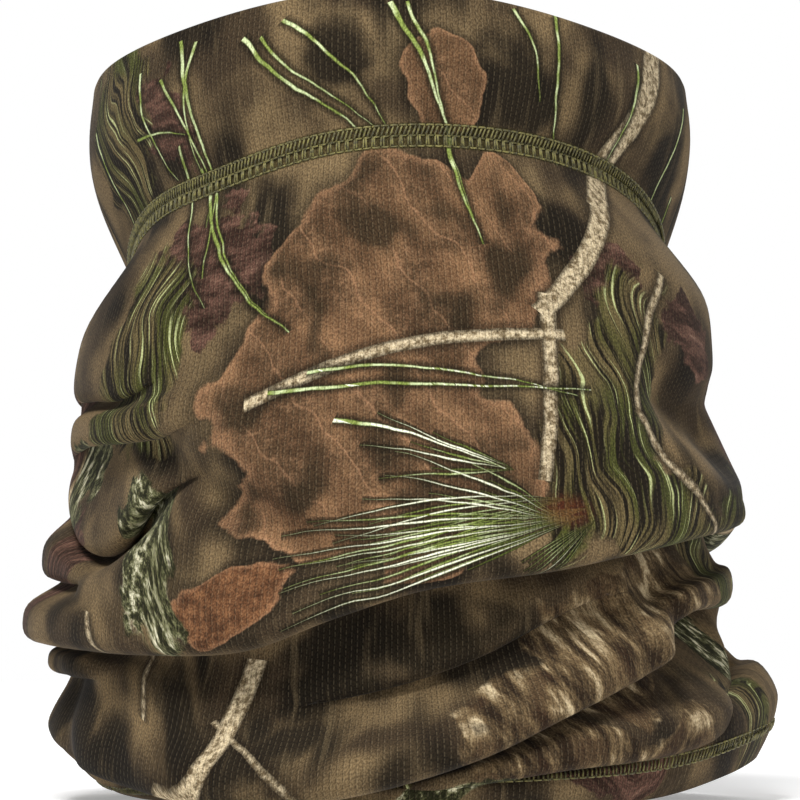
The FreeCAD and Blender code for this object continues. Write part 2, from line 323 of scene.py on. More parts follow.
class Skin:
    """One face of a panel: rows x columns of points (mm), seam row first."""

    def __init__(self, points, outward):
        self.points = points
        steps = np.linalg.norm(np.diff(points, axis=0), axis=2)
        self.arc = np.vstack([np.zeros(COLUMNS), np.cumsum(steps, axis=0)])
        along = np.gradient(points, axis=0)
        around_tube = np.roll(points, -1, axis=1) - np.roll(points, 1, axis=1)
        normal = np.cross(around_tube, along) * outward
        self.normals = normal / np.maximum(np.linalg.norm(normal, axis=2), 1e-9)[..., None]

    def column(self, spot, arc, lift):
        """A point at one mesh column, an arc length from the seam, lifted off the surface."""
        spot = int(spot) % COLUMNS
        row = np.interp(arc, self.arc[:, spot], np.arange(len(self.arc)))
        low = min(int(row), len(self.arc) - 2)
        part = row - low
        point = (1 - part) * self.points[low, spot] + part * self.points[low + 1, spot]
        normal = (1 - part) * self.normals[low, spot] + part * self.normals[low + 1, spot]
        return point + lift * normal

    def at(self, turn, arc, lift):
        """The same at any share of a turn round the tube, 0 at the back."""
        spot = (turn % 1.0) * COLUMNS
        low = math.floor(spot)
        part = spot - low
        return (1 - part) * self.column(low, arc, lift) + part * self.column(low + 1, arc, lift)

    def length(self, turn):
        """Arc length from the seam to the last row."""
        return float(np.interp(turn * COLUMNS, np.arange(COLUMNS), self.arc[-1], period=COLUMNS))


def rim_rows(outer, inner):
    """Rows that round over from the last outer row to the last inner one."""
    middle = (outer.points[-1] + inner[-1]) / 2
    half = (outer.points[-1] - inner[-1]) / 2
    ahead = outer.points[-1] - outer.points[-2]
    ahead = ahead / np.maximum(np.linalg.norm(ahead, axis=1), 1e-9)[:, None]
    ahead = ahead * np.linalg.norm(half, axis=1)[:, None]
    angles = [math.pi * (step + 1) / (RIM_ROWS + 1) for step in range(RIM_ROWS)]
    return [middle + half * math.cos(angle) + ahead * math.sin(angle) for angle in angles]


def add_object(name, data):
    """A mesh, light or camera placed in the scene."""
    piece = bpy.data.objects.new(name, data)
    bpy.context.scene.collection.objects.link(piece)
    return piece


def smooth_piece(name, points, faces):
    """A smoothly shaded mesh, from points in mm."""
    mesh = bpy.data.meshes.new(name)
    mesh.from_pydata((np.array(points) * MM).tolist(), [], faces)
    mesh.update()
    mesh.shade_smooth()
    return add_object(name, mesh)


def cloth_mesh(name, rows, arc):
    """A closed cloth from rings of points (mm) that close on themselves, and their arc lengths.

    Its UV map is the cloth laid flat, in mm: u round the tube from the front, v up from the seam."""
    count = len(rows)
    row, column = [grid.ravel()[:, None] for grid in
                   np.meshgrid(np.arange(count), np.arange(COLUMNS), indexing="ij")]
    corner_rows = (row + np.array([0, 0, 1, 1])) % count
    corner_columns = column + np.array([0, 1, 1, 0])
    faces = corner_rows * COLUMNS + corner_columns % COLUMNS
    piece = smooth_piece(name, np.array(rows).reshape(-1, 3), faces.tolist())
    u = (corner_columns / COLUMNS - 0.5) * GIRTH
    v = np.array(arc)[corner_rows, corner_columns % COLUMNS]
    layer = piece.data.uv_layers.new(name="flat_cloth")
    layer.data.foreach_set("uv", np.stack([u.ravel(), v.ravel()], 1).ravel().astype(np.float32))
    return piece


def single_cloth(name, skin):
    """One layer, turned up into two at its free edge."""
    layers = np.where(skin.arc > skin.arc[-1] - TURN_UP, 2, 1)
    inner = skin.points - skin.normals * (layers * FABRIC)[..., None]
    rim = rim_rows(skin, inner)
    rows = [*skin.points, *rim, *inner[::-1]]
    arc = [*skin.arc, *([skin.arc[-1]] * len(rim)), *skin.arc[::-1]]
    piece = cloth_mesh(name, rows, [-length for length in arc])
    piece.data.flip_normals()
    return piece


def folded_cloth(name, skin):
    """Two layers of one cloth, folded over at the free edge, with a slit between them."""
    far, slit_far, slit_near = [skin.points - skin.normals * depth for depth in
                                (2 * FABRIC, FABRIC + SLIT / 2, FABRIC - SLIT / 2)]
    rim = rim_rows(skin, far)
    rows = [*skin.points, *rim, *far[::-1], *slit_far[:-1], *slit_near[-2::-1]]
    end = skin.arc[-1]
    back = [2 * end - length for length in skin.arc]
    arc = [*skin.arc, *([end] * len(rim)), *back[::-1], *back[:-1], *skin.arc[-2::-1]]
    return cloth_mesh(name, rows, arc)


AZIMUTHS = np.arange(COLUMNS) * 360.0 / COLUMNS - 180.0

main_skin = Skin(place(main_profile(AZIMUTHS), AZIMUTHS), -1)
face_skin = Skin(place(face_profile(AZIMUTHS), AZIMUTHS), 1)
main_fabric = single_cloth("main_fabric", main_skin)
face_fabric = folded_cloth("face_fabric", face_skin)

# ------------------------------------------------------------------ stitches

STITCH = 2.2            # mm along the seam
# Shares of a stitch where its two rungs start and end, leaning and nearly upright.
SLANTED = ((0.05, 0.4), (0.55, 0.9))
UPRIGHT = ((0.1, 0.15), (0.4, 0.35))
RUNG_SHORT = 0.15       # mm that a rung stops short of each needle line
LINE_GAP = 2.6          # mm between needle lines
THREAD = 0.24           # mm, thread radius
THREAD_SIDES = 5        # flat sides round a thread
THREAD_LIFT = 0.2       # mm, the thread's axis above the fabric
rng = np.random.default_rng(11)


def thread_mesh(name, paths):
    """One mesh of capped tubes, each along a short list of points (mm)."""
    vertices = []
    faces = []
    for path in paths:
        path = np.array(path)
        start = len(vertices)
        for spot, point in enumerate(path):
            ahead = path[min(spot + 1, len(path) - 1)] - path[max(spot - 1, 0)]
            ahead = ahead / max(np.linalg.norm(ahead), 1e-9)
            side = np.cross(ahead, (0.3, 0.2, 0.93) if abs(ahead[2]) < 0.9 else (1, 0.1, 0))
            side = side / np.linalg.norm(side)
            up = np.cross(side, ahead)
            for turn in range(THREAD_SIDES):
                angle = 2 * math.pi * turn / THREAD_SIDES
                vertices.append(point + THREAD * (math.cos(angle) * side + math.sin(angle) * up))
        for ring in range(len(path) - 1):
            low = start + ring * THREAD_SIDES
            for turn in range(THREAD_SIDES):
                beside = (turn + 1) % THREAD_SIDES
                faces.append((low + turn, low + beside, low + THREAD_SIDES + beside,
                              low + THREAD_SIDES + turn))
        last = start + (len(path) - 1) * THREAD_SIDES
        faces.append(tuple(range(start + THREAD_SIDES - 1, start - 1, -1)))
        faces.append(tuple(range(last, last + THREAD_SIDES)))
    return smooth_piece(name, vertices, faces)


def needle_line(point, count, across, wave):
    """Short stitches end to end along a seam."""
    ends = ((0.08, 0.0), (0.3, 0.7), (0.7, 0.7), (0.92, 0.0))
    return [[point(number + share, across + wave * high, THREAD_LIFT * (0.2 + high))
             for share, high in ends] for number in range(count)]


def rungs(point, count, bottom, top, slants):
    """Cross threads between two needle lines, two to a stitch."""
    paths = []
    for number in range(count):
        for low_share, high_share in slants:
            jog = rng.uniform(-0.05, 0.05)
            low, high = number + low_share + jog, number + high_share + jog
            middle = point(0.5 * (low + high), 0.5 * (bottom + top), THREAD_LIFT * 1.6)
            paths.append([point(low, bottom, THREAD_LIFT), middle, point(high, top, THREAD_LIFT)])
    return paths


# Each of the next three gives point(along, across, lift) for one kind of seam: stitches along it,
# mm across it and mm off the surface.

def ring_point(upper, lower):
    """The seam round the tube, where across is measured up from the seam."""

    def point(along, across, lift):
        skin = upper if across >= 0 else lower
        return skin.at(along / RING_COUNT, abs(across), lift)

    return point


def hem_point(skin):
    """The hem, where across is measured up from its lower needle line."""

    def point(along, across, lift):
        turn = along / RING_COUNT
        return skin.at(turn, skin.length(turn) - (across + HEM_LINE), lift)

    return point


def upright_point(skin):
    """A seam down the middle of the back."""

    def point(along, across, lift):
        return skin.at(BACK + across / GIRTH, SEAM_CLEAR + along * STITCH, lift)

    return point


def sew(name, outside, inside, count, lines):
    """A seam's three pieces: its needle threads, its cover thread and the looper thread behind."""
    needles = []
    covers = []
    for number, (across, wave) in enumerate(lines):
        needles += needle_line(outside, count, across, wave)
        if number:
            slants = SLANTED if number == len(lines) - 1 else UPRIGHT
            bottom, top = lines[number - 1][0] + RUNG_SHORT, across - RUNG_SHORT
            covers += rungs(outside, count, bottom, top, slants)
    looper = []
    for number in range(count):
        start, turn, end = [inside(number + share, lines[line][0], -THREAD_LIFT)
                            for share, line in ((0, 0), (0.5, -1), (1, 0))]
        looper += [[start, turn], [turn, end]]
    return (thread_mesh(f"{name}_needle_stitches", needles),
            thread_mesh(f"{name}_cover_stitches", covers),
            thread_mesh(f"{name}_looper_stitches", looper))


def inner_skin(skin, depth):
    """The far face of a panel, as a skin to lay threads on from behind."""
    inside = Skin(skin.points - skin.normals * depth, 1)
    inside.normals = skin.normals
    return inside


# Each needle line: mm across the seam, and how far its stitches wave from it.
SEAM_LINES = ((-LINE_GAP, -0.25), (0.0, 0.0), (LINE_GAP, 0.25))
HEM_LINES = ((0.0, -0.2), (LINE_GAP, 0.2))
HEM_LINE = 8.0          # mm from the folded edge to the hem's lower needle line
SEAM_CLEAR = 4.2        # mm that the back seams stop short of the face seam
RING_COUNT = round(GIRTH / STITCH)
face_inside = inner_skin(face_skin, 2 * FABRIC)
main_inside = inner_skin(main_skin, FABRIC)
hem_inside = inner_skin(main_skin, 2 * FABRIC)
main_count = int((main_skin.length(BACK) - TURN_UP - SEAM_CLEAR) / STITCH)
face_count = int((face_skin.length(BACK) - SEAM_CLEAR - 1) / STITCH)

seam_needles, seam_covers, seam_looper = sew(
    "face_seam", ring_point(face_skin, main_skin), ring_point(face_inside, main_inside),
    RING_COUNT, SEAM_LINES)
hem_needles, hem_covers, hem_looper = sew(
    "hem", hem_point(main_skin), hem_point(hem_inside), RING_COUNT, HEM_LINES)
*main_back, main_back_looper = sew(
    "main_back_seam", upright_point(main_skin), upright_point(main_inside), main_count, SEAM_LINES)
*face_back, face_back_looper = sew(
    "face_back_seam", upright_point(face_skin), upright_point(face_inside), face_count, SEAM_LINES)

# ------------------------------------------------------------------ care label

LABEL_ROWS = 16
LABEL_COLUMNS = 12
low_corner, high_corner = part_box("care_label")
LABEL_WIDTH = (high_corner.x - low_corner.x) / MM
LABEL_LENGTH = (high_corner.z - low_corner.z) / MM
LABEL_THICK = 0.35
LABEL_START = 10.0      # mm from the seam to the label's lower edge
LABEL_GAP = 1.2         # mm, how far the label stands off the fabric where it is sewn
LABEL_CURL = 2.0        # mm more at its free lower end
LABEL_WAVE = 0.4        # mm, its ripple from side to side
TACKS = 3               # stitches at each top corner
TACK_STEP = 1.5         # mm from one to the next
TACK_SIDE = 1.2         # mm from the label's side edge to the first
TACK_DROP = 2.2         # mm from the label's top edge to the tacks


def label_point(across, up, lift):
    """A place on the label: its top is sewn down and its lower end curls off the fabric."""
    curl = LABEL_GAP + LABEL_CURL * (1 - up / LABEL_LENGTH) ** 2 + LABEL_WAVE * math.cos(across / 3.0)
    return face_inside.at(BACK + across / GIRTH, LABEL_START + up, -(curl + lift))


def make_label():
    """A woven label: a thin closed slab of its own."""
    front = []
    back = []
    for row in range(LABEL_ROWS + 1):
        up = LABEL_LENGTH * row / LABEL_ROWS
        for column in range(LABEL_COLUMNS + 1):
            across = LABEL_WIDTH * (column / LABEL_COLUMNS - 0.5)
            front.append(label_point(across, up, LABEL_THICK))
            back.append(label_point(across, up, 0.0))
    wide = LABEL_COLUMNS + 1
    total = len(front)
    faces = []
    for row in range(LABEL_ROWS):
        for column in range(LABEL_COLUMNS):
            a, b = row * wide + column, row * wide + column + 1
            faces.append((a, b, b + wide, a + wide))
            faces.append((total + a + wide, total + b + wide, total + b, total + a))
    ring = [*range(wide), *range(2 * wide - 1, total, wide), *range(total - 2, total - wide - 1, -1),
            *range(total - 2 * wide, 0, -wide)]
    for number, spot in enumerate(ring):
        after = ring[(number + 1) % len(ring)]
        faces.append((after, spot, total + spot, total + after))
    return smooth_piece("care_label_woven", front + back, faces)


def tack_paths():
    """Two short rows of stitches that hold the label's top corners."""
    paths = []
    for side in (-1, 1):
        for number in range(TACKS):
            across = side * (LABEL_WIDTH / 2 - TACK_SIDE - TACK_STEP * number)
            paths.append([label_point(across + end, LABEL_LENGTH - TACK_DROP, LABEL_THICK + THREAD)
                          for end in (-0.5, 0.5)])
    return paths


label = make_label()
label_tacks = thread_mesh("care_label_tacks", tack_paths())

# ------------------------------------------------------------------ how the pieces move

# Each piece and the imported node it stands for.
NODES = [
    (main_fabric, "main_panel"), (main_back[0], "main_back_seam_needle_threads"),
    (main_back[1], "main_back_seam_cover_thread"), (main_back_looper, "main_back_seam_looper_thread"),
    (hem_needles, "hem_needle_threads"), (hem_covers, "hem_cover_thread"),
    (hem_looper, "hem_looper_thread"), (face_fabric, "face_panel"),
    (seam_needles, "face_seam_needle_threads"), (seam_covers, "face_seam_cover_thread"),
    (seam_looper, "face_seam_looper_thread"), (face_back[0], "face_back_seam_needle_threads"),
    (face_back[1], "face_back_seam_cover_thread"), (face_back_looper, "face_back_seam_looper_thread"),
    (label, "care_label"), (label_tacks, "care_label_stitches"),
]
SLOTS = {part["node"]: part["material_slot"] for part in frame["record"]["subparts"]}
for piece, node in NODES:
    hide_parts(node)
    if node.startswith("main"):
        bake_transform(piece)
    elif node.startswith("hem"):
        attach(piece, "neck_tube")
    else:
        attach(piece, "face_cover")

# ------------------------------------------------------------------ materials

def paint(red, green, blue):
    """A screen colour, 0 to 255, as the linear colour that nodes use."""
    parts = []
    for value in (red, green, blue):
        share = value / 255
        parts.append(share / 12.92 if share <= 0.04045 else ((share + 0.055) / 1.055) ** 2.4)
    return (*parts, 1.0)


class Net:
    """Short names for building a node tree. Values are numbers, colours or output sockets."""

    def __init__(self, tree):
        self.tree = tree

    def new(self, kind, **settings):
        node = self.tree.nodes.new(kind)
        for name, value in settings.items():
            setattr(node, name, value)
        return node

    def put(self, value, socket):
        if isinstance(value, bpy.types.NodeSocket):
            self.tree.links.new(value, socket)
        else:
            socket.default_value = value

    def fill(self, node, values):
        """Put values into a node's inputs, by name or by number."""
        for name, value in values.items():
            self.put(value, node.inputs[name])
        return node

    def math(self, kind, a, b=0.0):
        return self.fill(self.new("ShaderNodeMath", operation=kind), {0: a, 1: b}).outputs[0]

    def add(self, a, b):
        return self.math("ADD", a, b)

    def less(self, a, b):
        return self.math("SUBTRACT", a, b)

    def times(self, a, b):
        return self.math("MULTIPLY", a, b)

    def top(self, a, b):
        return self.math("MAXIMUM", a, b)

    def size(self, a):
        return self.math("ABSOLUTE", a)

    def ramp(self, value, low, high):
        """0 at low to 1 at high, smoothly. low may be the larger."""
        node = self.new("ShaderNodeMapRange", interpolation_type="SMOOTHSTEP")
        return self.fill(node, {0: value, 1: low, 2: high, 3: 0.0, 4: 1.0}).outputs[0]

    def mix(self, share, a, b, kind="MIX"):
        node = self.new("ShaderNodeMix", data_type="RGBA", blend_type=kind)
        return self.fill(node, {0: share, 6: a, 7: b}).outputs[2]

    def wash(self, colour, ink, cover, strength):
        """Ink laid over a colour, as strongly as strength where cover is 1."""
        return self.mix(self.times(cover, strength), colour, ink)

    def mix_value(self, share, a, b):
        """A number part of the way from a to b."""
        node = self.new("ShaderNodeMix", data_type="FLOAT")
        return self.fill(node, {0: share, 2: a, 3: b}).outputs[0]

    def vector(self, x, y, z=0.0):
        return self.fill(self.new("ShaderNodeCombineXYZ"), {0: x, 1: y, 2: z}).outputs[0]

    def scaled(self, vector, scale):
        node = self.new("ShaderNodeVectorMath", operation="SCALE")
        return self.fill(node, {0: vector, "Scale": scale}).outputs[0]

    def noise(self, vector, size, detail=2.0, rough=0.5):
        """Noise with features about size mm across."""
        values = {"Vector": vector, "Scale": 1 / size, "Detail": detail, "Roughness": rough}
        return self.fill(self.new("ShaderNodeTexNoise"), values).outputs[0]

    def ragged(self, flat, size, detail, amount):
        """Noise about 0 that makes an edge ragged."""
        return self.times(self.less(self.noise(flat, size, detail), 0.5), amount)

    def oval(self, u, v, middle, half, turn, wobble):
        """0 at an oval's middle, 1 at its edge, its edge pushed about by wobble."""
        du, dv = self.less(u, middle[0]), self.less(v, middle[1])
        cos, sin = math.cos(math.radians(turn)), math.sin(math.radians(turn))
        along = self.times(self.add(self.times(du, cos), self.times(dv, sin)), 1 / half[0])
        across = self.times(self.less(self.times(dv, cos), self.times(du, sin)), 1 / half[1])
        far = self.math("SQRT", self.add(self.times(along, along), self.times(across, across)))
        return self.add(far, wobble)

    def patches(self, u, v, ovals, wobble, outer, inner):
        """A mask over several ovals: 0 at outer and beyond, 1 at inner and within."""
        mask = 0.0
        for middle, half, turn in ovals:
            edge = self.ramp(self.oval(u, v, middle, half, turn, wobble), outer, inner)
            mask = self.top(mask, edge)
        return mask


FAR_OFF = 50.0          # mm, further than any stroke's shade reaches


def stroke_group():
    """A tapered, bent stroke between two places: mm outside its edge, negative within it."""
    tree = bpy.data.node_groups.new("stroke", "ShaderNodeTree")
    for name in ("U", "V", "X", "Y", "Cos", "Sin", "Length", "Half", "Bend", "Taper"):
        tree.interface.new_socket(name, in_out="INPUT", socket_type="NodeSocketFloat")
    tree.interface.new_socket("Outside", in_out="OUTPUT", socket_type="NodeSocketFloat")
    net = Net(tree)
    given = net.new("NodeGroupInput").outputs
    du, dv = net.less(given["U"], given["X"]), net.less(given["V"], given["Y"])
    run = net.add(net.times(du, given["Cos"]), net.times(dv, given["Sin"]))
    along = net.math("DIVIDE", run, given["Length"])
    arch = net.times(net.times(along, net.less(1.0, along)), net.times(given["Bend"], 4.0))
    off = net.less(net.less(net.times(dv, given["Cos"]), net.times(du, given["Sin"])), arch)
    half = net.times(given["Half"], net.less(1.0, net.times(given["Taper"], along)))
    beyond = net.math("GREATER_THAN", net.size(net.less(along, 0.5)), 0.5)
    outside = net.add(net.less(net.size(off), half), net.times(beyond, FAR_OFF))
    net.put(outside, net.new("NodeGroupOutput").inputs["Outside"])
    return tree


STROKE = stroke_group()


def strokes_paint(places, taper):
    """A recipe for a set of strokes: mm outside the nearest one."""

    def recipe(net, u, v, flat):
        outside = FAR_OFF
        for u0, v0, u1, v1, half, bend in places:
            length = math.hypot(u1 - u0, v1 - v0)
            cos, sin = (u1 - u0) / length, (v1 - v0) / length
            values = (u, v, u0, v0, cos, sin, length, half, bend, taper)
            node = net.fill(net.new("ShaderNodeGroup", node_tree=STROKE), dict(enumerate(values)))
            outside = net.math("MINIMUM", outside, node.outputs["Outside"])
        return (outside,)

    return recipe


def in_group(net, name, recipe, inputs, outputs):
    """Build a recipe in a node group of its own and give its outputs: F a number, C a colour."""
    kinds = {"F": "NodeSocketFloat", "C": "NodeSocketColor", "V": "NodeSocketVector"}
    tree = bpy.data.node_groups.new(name, "ShaderNodeTree")
    for given, kind in zip(("U", "V", "Flat"), "FFV"):
        tree.interface.new_socket(given, in_out="INPUT", socket_type=kinds[kind])
    for number, kind in enumerate(outputs):
        tree.interface.new_socket(f"Out {number}", in_out="OUTPUT", socket_type=kinds[kind])
    inner = Net(tree)
    given = inner.new("NodeGroupInput").outputs
    results = recipe(inner, given["U"], given["V"], given["Flat"])
    inner.fill(inner.new("NodeGroupOutput"), dict(enumerate(results)))
    node = net.fill(net.new("ShaderNodeGroup", node_tree=tree), dict(enumerate(inputs)))
    return list(node.outputs)[:len(outputs)]


# Places on the cloth laid flat: mm round the tube from the front, mm up from the face seam.
# Strokes: both ends, half width and bend.
NEEDLES = [
    (-55, 38, -48, -26, 0.7, 2), (-50, 36, -53, 2, 0.6, -2), (-61, 30, -50, -12, 0.6, 3),
    (-53, 4, -25, -46, 0.7, -4), (-49, 0, -30, -40, 0.5, -3), (-58, 12, -47, -34, 0.5, -4),
    (-36, 32, -6, 1, 0.7, -1), (-31, 31, -3, 2, 0.5, -1), (-25, 34, -1, 3, 0.6, 2),
    (0, 34, 16, -2, 0.8, 1), (15, 0, 20, -28, 0.7, -1), (4, 34, 18, -20, 0.5, 2),
    (42, 34, 46, -3, 0.6, -2), (-29, -60, 44, -62, 0.6, -2), (-20, -57, 40, -64, 0.5, 1),
    (-14, -70, 22, -84, 0.6, 1), (-70, 34, -62, 4, 0.6, -2), (-74, 18, -55, 14, 0.5, 1),
    (30, 34, 38, 12, 0.5, 1), (70, 30, 64, 2, 0.6, 1),
    (-100, 30, -94, -8, 0.6, 2), (100, 30, 92, -16, 0.6, -2), (108, 10, 104, -30, 0.6, 2),
]
TWIGS = [
    (80, 38, 54, -14, 4.2, 1.5), (57, -9, 32, -44, 3.1, 2.5), (34, -39, 31, -86, 2.1, 1),
    (-34, -62, 38, -49, 1.8, 2.5), (70, -28, 58, -66, 1.3, -2), (58, -65, 93, -98, 1.2, -4),
    (-36, -146, -60, -206, 3.0, 2), (-45, -160, -20, -196, 0.9, 2), (-78, -150, -66, -186, 1.2, 1),
]
# Ovals: middle, half sizes and turn in degrees.
LEAVES = [
    ((2, -34), (34, 27), 12), ((-4, -82), (33, 26), -8), ((12, 13), (9, 13), 20),
    ((25, -18), (9, 12), -10), ((20, -36), (12, 12), 0), ((-12, -60), (30, 34), 15),
]
ORANGE_LEAF = ((-37, -113), (15, 9), 12)
BARK = [
    ((-50, -26), (20, 17), 20), ((52, -32), (10, 9), 30), ((82, -40), (13, 9), -20),
    ((50, -227), (24, 7), 0), ((-62, 20), (9, 14), 30), ((-112, -50), (9, 18), 0),
    ((114, -66), (9, 24), 10), ((-106, -120), (12, 24), 0),
]
CURTAINS = [
    ((50, -68), (17, 38), -20), ((62, -94), (24, 15), -12), ((-66, -40), (15, 26), -14),
    ((-70, -70), (13, 20), -30), ((-84, 22), (17, 22), 0), ((98, -104), (12, 30), 0),
    ((-20, -212), (34, 9), 10), ((100, -200), (9, 30), 0),
]
LICHEN = [
    ((-60, -118), (12, 24), 15), ((-64, -96), (7, 9), 15), ((8, -229), (26, 7), 15),
    ((-100, -84), (12, 14), 15), ((100, -150), (9, 12), 15),
]
TRUNKS = [
    ((62, -146), (36, 20), 20), ((46, -176), (34, 17), 16), ((80, -132), (22, 18), 0),
    ((48, -208), (36, 14), 0), ((-112, -40), (10, 40), 0),
]
# Dark ovals in the print's backdrop. Those low on the front, under the main lip and in the folds
# below it, are painted shade of those recesses; the rest are the print's own dark patches.
DARK_PRINT_AND_PAINTED_SHADE = [
    ((-12, 22), (8, 11), 0), ((27, 14), (10, 14), -15), ((-30, -22), (8, 18), 10),
    ((38, -24), (11, 9), 0), ((-26, -86), (12, 22), 10), ((0, -146), (30, 12), 5),
    ((12, -206), (34, 10), 10), ((-16, -160), (22, 10), 0), ((-66, -80), (14, 8), 0),
    ((-40, -172), (26, 14), 8), ((-70, -208), (20, 14), 0), ((60, -112), (18, 8), 0),
    ((-76, 6), (10, 14), 0), ((96, 6), (12, 22), 0), ((-104, -200), (14, 20), 0),
    ((74, -96), (10, 14), 0),
]
# Sprays of pine needles: the place they spring from, lowest and highest angle above the way to
# the left (radians), length and half width (mm), how many, and how far they curl.
SPRAYS = [
    ((41, -92), (-0.48, -0.12), 84, 0.72, 9, -0.0004),
    ((40, -94), (-0.54, -0.06), 74, 0.62, 10, -0.0010),
    ((37, -90), (-0.36, 0.02), 58, 0.58, 7, 0.0022),
    ((36, -95), (-0.66, -0.22), 50, 0.56, 8, -0.0030),
    ((37, -96), (0.12, 0.62), 46, 0.56, 7, 0.0012),
    ((24, -84), (-0.20, 0.55), 34, 0.5, 6, -0.0020),
    ((42, -95), (-1.0, -0.50), 26, 0.40, 9, 0.0040),
]
SPRAY_ROOT = ((36, -93), (8, 6), 0)


def leaf_paint(net, u, v, flat):
    """Dry leaves with veins: their mask, the dark shade they cast on the print, their colour."""
    edge = net.add(net.ragged(flat, 15, 1, 1.1), net.ragged(flat, 3, 2, 0.14))
    far = 9.0
    for middle, half, turn in LEAVES:
        far = net.math("MINIMUM", far, net.oval(u, v, middle, half, turn, edge))
    orange_far = net.oval(u, v, *ORANGE_LEAF, edge)
    either = net.math("MINIMUM", far, orange_far)
    grain = net.noise(flat, 2.2, 4, 0.6)
    broad = net.noise(flat, 17, 2)
    colour = net.mix(net.ramp(broad, 0.35, 0.65), paint(82, 64, 46), paint(121, 95, 70))
    colour = net.wash(colour, paint(154, 122, 94), net.ramp(grain, 0.4, 0.75), 0.35)
    slant = net.add(net.times(u, 0.8), net.times(v, 0.5))
    slant = net.add(slant, net.times(net.noise(flat, 12, 1), 9))
    ribs = net.size(net.math("SINE", net.times(slant, 0.28)))
    colour = net.wash(colour, paint(160, 126, 98), net.ramp(ribs, 0.13, 0.0), 0.35)
    colour = net.wash(colour, paint(62, 44, 29), net.ramp(ribs, 0.6, 1.0), 0.35)
    patch = net.ramp(net.noise(net.vector(u, net.times(v, 0.8), 31), 15, 2), 0.5, 0.66)
    colour = net.wash(colour, paint(50, 41, 28), patch, 0.85)
    orange = net.mix(net.ramp(grain, 0.3, 0.7), paint(85, 59, 40), paint(124, 91, 64))
    spots = net.ramp(net.noise(flat, 5, 3), 0.48, 0.66)
    orange = net.wash(orange, paint(62, 42, 28), spots, 0.6)
    colour = net.mix(net.ramp(orange_far, 1.03, 0.97), colour, orange)
    colour = net.wash(colour, paint(170, 134, 104), net.ramp(either, 0.86, 1.0), 0.3)
    return net.ramp(either, 1.03, 0.97), net.ramp(either, 1.35, 0.98), colour


def bark_paint(net, u, v, flat):
    """Maroon bark flakes with pale cracks: their mask and their colour, as in the next three."""
    mask = net.patches(u, v, BARK, net.ragged(flat, 7, 3, 1.6), 1.05, 0.95)
    layers = net.noise(net.vector(net.times(u, 0.35), v, 7), 3, 4, 0.65)
    colour = net.mix(net.ramp(layers, 0.35, 0.7), paint(54, 38, 30), paint(108, 82, 70))
    return mask, net.mix(net.ramp(layers, 0.62, 0.8), colour, paint(150, 128, 112))


def curtain_paint(net, u, v, flat):
    """Long grassy streaks that run down the sides, pale and dark green by turns."""
    sway = net.times(net.math("SINE", net.times(net.add(v, 62), 0.075)), 7)
    lane = net.add(net.add(u, sway), net.times(net.noise(flat, 26, 1), 20))
    line = net.noise(net.vector(lane, net.times(v, 0.045), 3), 1.5, 2, 0.6)
    fine = net.noise(net.vector(lane, net.times(v, 0.03), 9), 0.7, 1)
    tone = net.noise(net.vector(net.times(lane, 0.2), net.times(v, 0.1)), 3, 1)
    green = net.mix(net.ramp(tone, 0.4, 0.62), paint(74, 76, 38), paint(104, 92, 64))
    colour = net.mix(net.ramp(line, 0.56, 0.42), green, paint(34, 28, 17))
    blades = net.ramp(fine, 0.58, 0.68)
    colour = net.wash(colour, paint(172, 176, 132), blades, net.ramp(line, 0.45, 0.6))
    return net.patches(u, v, CURTAINS, net.ragged(flat, 10, 3, 1.4), 1.08, 0.9), colour


def lichen_paint(net, u, v, flat):
    """Whitish green lichen on bark."""
    tufts = net.noise(flat, 3.0, 4, 0.66)
    low = net.top(net.ramp(net.noise(flat, 9, 1), 0.46, 0.64), net.ramp(v, -118, -130))
    colour = net.mix(net.ramp(tufts, 0.42, 0.56), paint(44, 44, 26), paint(104, 104, 74))
    colour = net.wash(colour, paint(196, 192, 170), net.ramp(tufts, 0.5, 0.68), net.add(0.25, low))
    return net.patches(u, v, LICHEN, net.ragged(flat, 6, 3, 1.8), 1.06, 0.9), colour


def trunk_paint(net, u, v, flat):
    """A broad trunk of mottled beige bark."""
    lane = net.add(u, net.times(v, 0.35))
    ridges = net.noise(net.vector(lane, net.times(v, 0.3), 5), 3.6, 4, 0.6)
    blotch = net.noise(flat, 9, 2)
    colour = net.mix(net.ramp(ridges, 0.34, 0.62), paint(48, 37, 26), paint(116, 99, 73))
    lit = net.ramp(blotch, 0.42, 0.62)
    colour = net.wash(colour, paint(186, 172, 144), net.ramp(ridges, 0.5, 0.7), lit)
    colour = net.wash(colour, paint(58, 42, 30), net.ramp(blotch, 0.5, 0.36), 0.6)
    return net.patches(u, v, TRUNKS, net.ragged(flat, 11, 3, 1.2), 1.05, 0.92), colour


